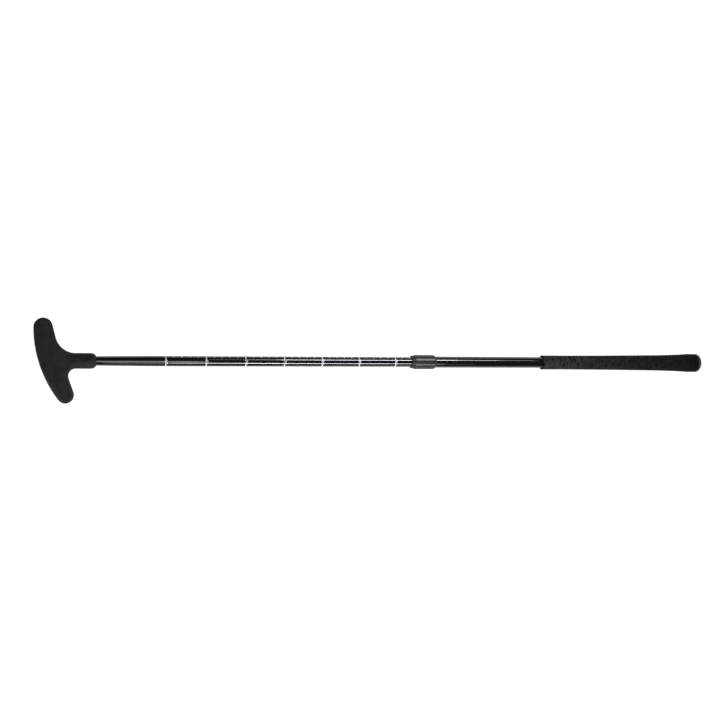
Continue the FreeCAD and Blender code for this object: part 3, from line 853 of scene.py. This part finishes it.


def grip_rubber():
    """Matt charcoal rubber of the grip, mottled in rows across it, with painted shade that darkens it from
    mouth to butt.
    """
    made = Finish("grip_rubber", (0.03, 0.03, 0.032), 0.7, Specular_IOR_Level=0.05)
    cloud = made.noise(7, 3)
    grain = made.noise(0.9, 5, 0.65)
    rows = made.noise(1.9, 2, 0.5, made.stretched((1, 0.25, 0.25)))
    shade = made.combine(made.ramp(cloud, 0.3, 0.7, 0, 0.1), made.ramp(grain, 0.38, 0.62, 0, 0.35))
    shade = made.combine(shade, made.ramp(rows, 0.44, 0.56, 0, 0.55))
    # Painted shade: the colour falls off from the grip's mouth to its butt, in place of light that fades
    # along it.
    painted_shade_falloff = made.combine(GRIP_BUTT_PAINTED_LIGHT_LEFT, made.along(GRIP_X, BUTT_X, 0, 1), "POWER")
    shade = made.combine(shade, made.combine(painted_shade_falloff, GRIP_MOUTH_PAINTED_LIGHT, "MULTIPLY"), "MULTIPLY")
    colour = made.blend(shade, (0.001, 0.001, 0.0011), (0.022, 0.022, 0.0236))
    return made.finish(colour, made.ramp(grain, 0.3, 0.7, 0.6, 0.82), made.relief(grain, 0.05))


def cap_rubber():
    """Smooth black rubber of the end cap."""
    made = Finish("cap_rubber", (0.01, 0.01, 0.011), 0.45)
    grain = made.noise(0.8, 4)
    colour = made.blend(made.ramp(grain, 0.3, 0.7), (0.020, 0.020, 0.021), (0.036, 0.036, 0.037))
    return made.finish(colour, made.ramp(grain, 0.3, 0.7, 0.38, 0.55), made.relief(grain, 0.03))


def scale_ink():
    """Silver-white printed ink, worn in specks."""
    made = Finish("scale_ink", (0.62, 0.63, 0.64), 0.4)
    wear = made.noise(0.5, 4, 0.7)
    colour = made.blend(made.ramp(wear, 0.55, 0.75), (0.54, 0.55, 0.56), (0.30, 0.31, 0.32))
    return made.finish(colour, made.ramp(wear, 0.3, 0.7, 0.3, 0.5))


def cast_core():
    """Zinc alloy as cast, with pits."""
    made = Finish("cast_core", (0.32, 0.32, 0.33), 0.5, Metallic=1.0)
    skin = made.noise(2.5, 6, 0.7)
    pits = made.ramp(made.specks(1.2), 0.0, 0.25)
    colour = made.blend(made.ramp(skin, 0.3, 0.7), (0.25, 0.25, 0.26), (0.4, 0.4, 0.41))
    bump = made.relief(skin, 0.1, made.relief(pits, 0.05))
    return made.finish(colour, made.ramp(skin, 0.3, 0.7, 0.42, 0.62), bump)


def bright_steel():
    """Zinc-plated steel with fine lines along the shaft."""
    made = Finish("bright_steel", (0.6, 0.6, 0.61), 0.25, Metallic=1.0)
    lines = made.noise(0.15, 3, 0.6, made.stretched((0.06, 1, 1)))
    stain = made.noise(2, 4)
    colour = made.blend(made.ramp(stain, 0.35, 0.75), (0.66, 0.66, 0.66), (0.5, 0.5, 0.52))
    return made.finish(colour, made.ramp(lines, 0.3, 0.7, 0.18, 0.36), made.relief(lines, 0.008))


def natural_nylon():
    """Undyed nylon."""
    made = Finish("nylon", (0.75, 0.74, 0.7), 0.42, Subsurface_Weight=0.2)
    cloud = made.noise(1.8, 4)
    colour = made.blend(made.ramp(cloud, 0.3, 0.7), (0.7, 0.69, 0.64), (0.79, 0.78, 0.74))
    return made.finish(colour, made.ramp(cloud, 0.3, 0.7, 0.35, 0.5), made.relief(cloud, 0.02))


def ring_rubber():
    """Soft black rubber of the retaining ring."""
    made = Finish("ring_rubber", (0.02, 0.02, 0.02), 0.6)
    cloud = made.noise(0.5, 4)
    colour = made.blend(made.ramp(cloud, 0.3, 0.7), (0.013, 0.013, 0.013), (0.026, 0.026, 0.026))
    return made.finish(colour, made.ramp(cloud, 0.3, 0.7, 0.5, 0.7), made.relief(cloud, 0.02))


def paper_tape():
    """Double-sided paper tape with fibres."""
    made = Finish("tape", (0.7, 0.68, 0.6), 0.8)
    fibre = made.noise(0.4, 5, 0.7, made.stretched((0.3, 1, 1), (0, 0, 0.5)))
    colour = made.blend(made.ramp(fibre, 0.3, 0.7), (0.62, 0.6, 0.52), (0.75, 0.73, 0.66))
    return made.finish(colour, made.ramp(fibre, 0.3, 0.7, 0.72, 0.9), made.relief(fibre, 0.03))


# ---------------------------------------------------------------- camera, light and floor
CAMERA_ABOVE_AXIS = 1.3648            # metres over the shaft's axis
CAMERA_X = -0.4955
CAMERA_Y = 0.0024
CAMERA_TILT = math.radians(17.99)
CAMERA_ROLL = math.radians(0.23)
LENS_MM = 55.0
SENSOR_MM = 36.0


def make_camera():
    """Camera looking down on the club from near its head, tilted towards the grip."""
    data = bpy.data.cameras.new("camera")
    data.lens = LENS_MM
    data.sensor_width = SENSOR_MM
    data.clip_start = 0.01
    data.clip_end = 50
    camera = bpy.data.objects.new("camera", data)
    bpy.context.scene.collection.objects.link(camera)
    camera.location = (CAMERA_X, CAMERA_Y, AXIS_Z * MM + CAMERA_ABOVE_AXIS)
    tilt = Matrix.Rotation(-CAMERA_TILT, 4, "Y")
    roll = Matrix.Rotation(CAMERA_ROLL, 4, "Z")
    camera.rotation_euler = (tilt @ roll).to_euler()
    bpy.context.scene.camera = camera


LIGHT_COLOUR = (0.94, 0.98, 1.0)
WORLD_STRENGTH = 0.06

# Two strips of light run along the shaft, one on each side. Each fades along its length, so it is given as
# stretches: (where a stretch starts along X, its share of the full radiance).
STRIP_NEAR = (
    (-0.32, 0.2), (-0.17, 0.65), (-0.09, 0.95), (-0.01, 1.25), (0.06, 1.0), (0.14, 0.9), (0.23, 0.95),
    (0.30, 0.75), (0.37, 0.25), (0.43, 0.03), (0.50, 0),
)
STRIP_FAR = (
    (-0.09, 0.08), (-0.01, 0.3), (0.06, 0.95), (0.14, 1.1), (0.23, 1.1), (0.30, 1.15), (0.37, 1.05),
    (0.46, 0.45), (0.56, 0.15), (0.65, 0),
)
STRIP_WIDTH = 0.10
STRIP_RADIANCE = 56.0


def soft_box(name, place, size, radiance, aim):
    """Rectangular soft box whose long side lies along X, facing a point; radiance per area."""
    data = bpy.data.lights.new(name, "AREA")
    data.shape = "RECTANGLE"
    data.size, data.size_y = size
    data.energy = radiance * size[0] * size[1] * math.pi
    data.color = LIGHT_COLOUR
    light = bpy.data.objects.new(name, data)
    bpy.context.scene.collection.objects.link(light)
    back = (Vector(place) - Vector(aim)).normalized()
    up = back.cross(Vector((1, 0, 0))).normalized()
    side = up.cross(back).normalized()
    light.rotation_euler = Matrix((side, up, back)).transposed().to_euler()
    light.location = place


def strip(name, stretches, y, rise):
    """Row of soft boxes end to end, parallel to the shaft and facing it."""
    centre_z = AXIS_Z * MM
    for i, ((start, share), (end, _)) in enumerate(zip(stretches, stretches[1:])):
        middle = (start + end) / 2
        soft_box("%s_%d" % (name, i), place=(middle, y, centre_z + rise), size=(end - start, STRIP_WIDTH),
                 radiance=STRIP_RADIANCE * share, aim=(middle, 0, centre_z))


def make_studio():
    """Strips for the tubes' highlights, a soft box overhead, and a low one that fills the head."""
    centre_z = AXIS_Z * MM
    strip("strip_near", STRIP_NEAR, y=-0.61, rise=0.66)
    strip("strip_far", STRIP_FAR, y=0.56, rise=0.70)
    soft_box("overhead", place=(-0.17, -0.3, 1.5), size=(0.36, 0.7), radiance=4.6, aim=(-0.17, 0, centre_z))
    soft_box("low_fill", place=(-0.78, -0.72, 0.30), size=(0.4, 0.3), radiance=28.0, aim=(-0.43, 0, centre_z))
    world = bpy.data.worlds.new("studio")
    bpy.context.scene.world = world
    world.use_nodes = True
    background = world.node_tree.nodes["Background"]
    background.inputs["Color"].default_value = (1, 1, 1, 1)
    background.inputs["Strength"].default_value = WORLD_STRENGTH


FLOOR_NEAR = 6.0              # half width of the floor round the club, in metres
FLOOR_FAR = 30.0              # where it meets the studio's far wall
FAR_WALL = 2.6                # the wall's height, which closes the horizon at rest from 16 degrees up


def make_floor():
    """White glowing floor, and a low wall far off in the same paint."""
    mesh = bpy.data.meshes.new("floor")
    around = ((-1, -1), (1, -1), (1, 1), (-1, 1))
    corners = [(x * half, y * half, z) for half, z in ((FLOOR_NEAR, 0), (FLOOR_FAR, 0), (FLOOR_FAR, FAR_WALL))
               for x, y in around]
    faces = [(0, 1, 2, 3)]
    for inner in (0, 4):
        for i in range(4):
            j = (i + 1) % 4
            faces.append((inner + i, inner + 4 + i, inner + 4 + j, inner + j))
    mesh.from_pydata(corners, [], faces)
    floor = bpy.data.objects.new("floor", mesh)
    bpy.context.scene.collection.objects.link(floor)
    paint = Finish("floor_paint", (0.2, 0.2, 0.2), 0.9, Specular_IOR_Level=0.0,
                   Emission_Color=(1, 1, 1, 1), Emission_Strength=0.97)
    mesh.materials.append(paint.material)


CARRIED_OVER = {
    "head_core": cast_core, "shaft_pin": bright_steel, "lock_plug": natural_nylon, "lock_screw": bright_steel,
    "thrust_washer": bright_steel, "stop_nut": bright_steel, "expander_sleeve": natural_nylon,
    "retaining_ring": ring_rubber, "wedge_nut": natural_nylon, "grip_tape": paper_tape,
}


def dress(piece, material):
    """Gives a piece its one material."""
    piece.data.materials.clear()
    piece.data.materials.append(material)


def make_all():
    """Makes the visible pieces and their materials, and new materials for the hidden nodes."""
    shaft = lacquer()
    made = {}
    for node, finish in CARRIED_OVER.items():
        if finish not in made:
            made[finish] = finish()
        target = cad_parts[node]
        for slot in target.material_slots:
            slot.material = made[finish]
    dress(make_head(), head_rubber())
    dress(make_lower_tube(), shaft)
    dress(make_upper_tube(), shaft)
    dress(make_bush(), bush_nylon())
    dress(make_collar(), satin_plastic())
    dress(make_grip(), grip_rubber())
    dress(make_cap(), cap_rubber())
    dress(make_scale(), scale_ink())


make_camera()
make_floor()
make_studio()
make_all()
bpy.context.scene.view_settings.view_transform = "Standard"
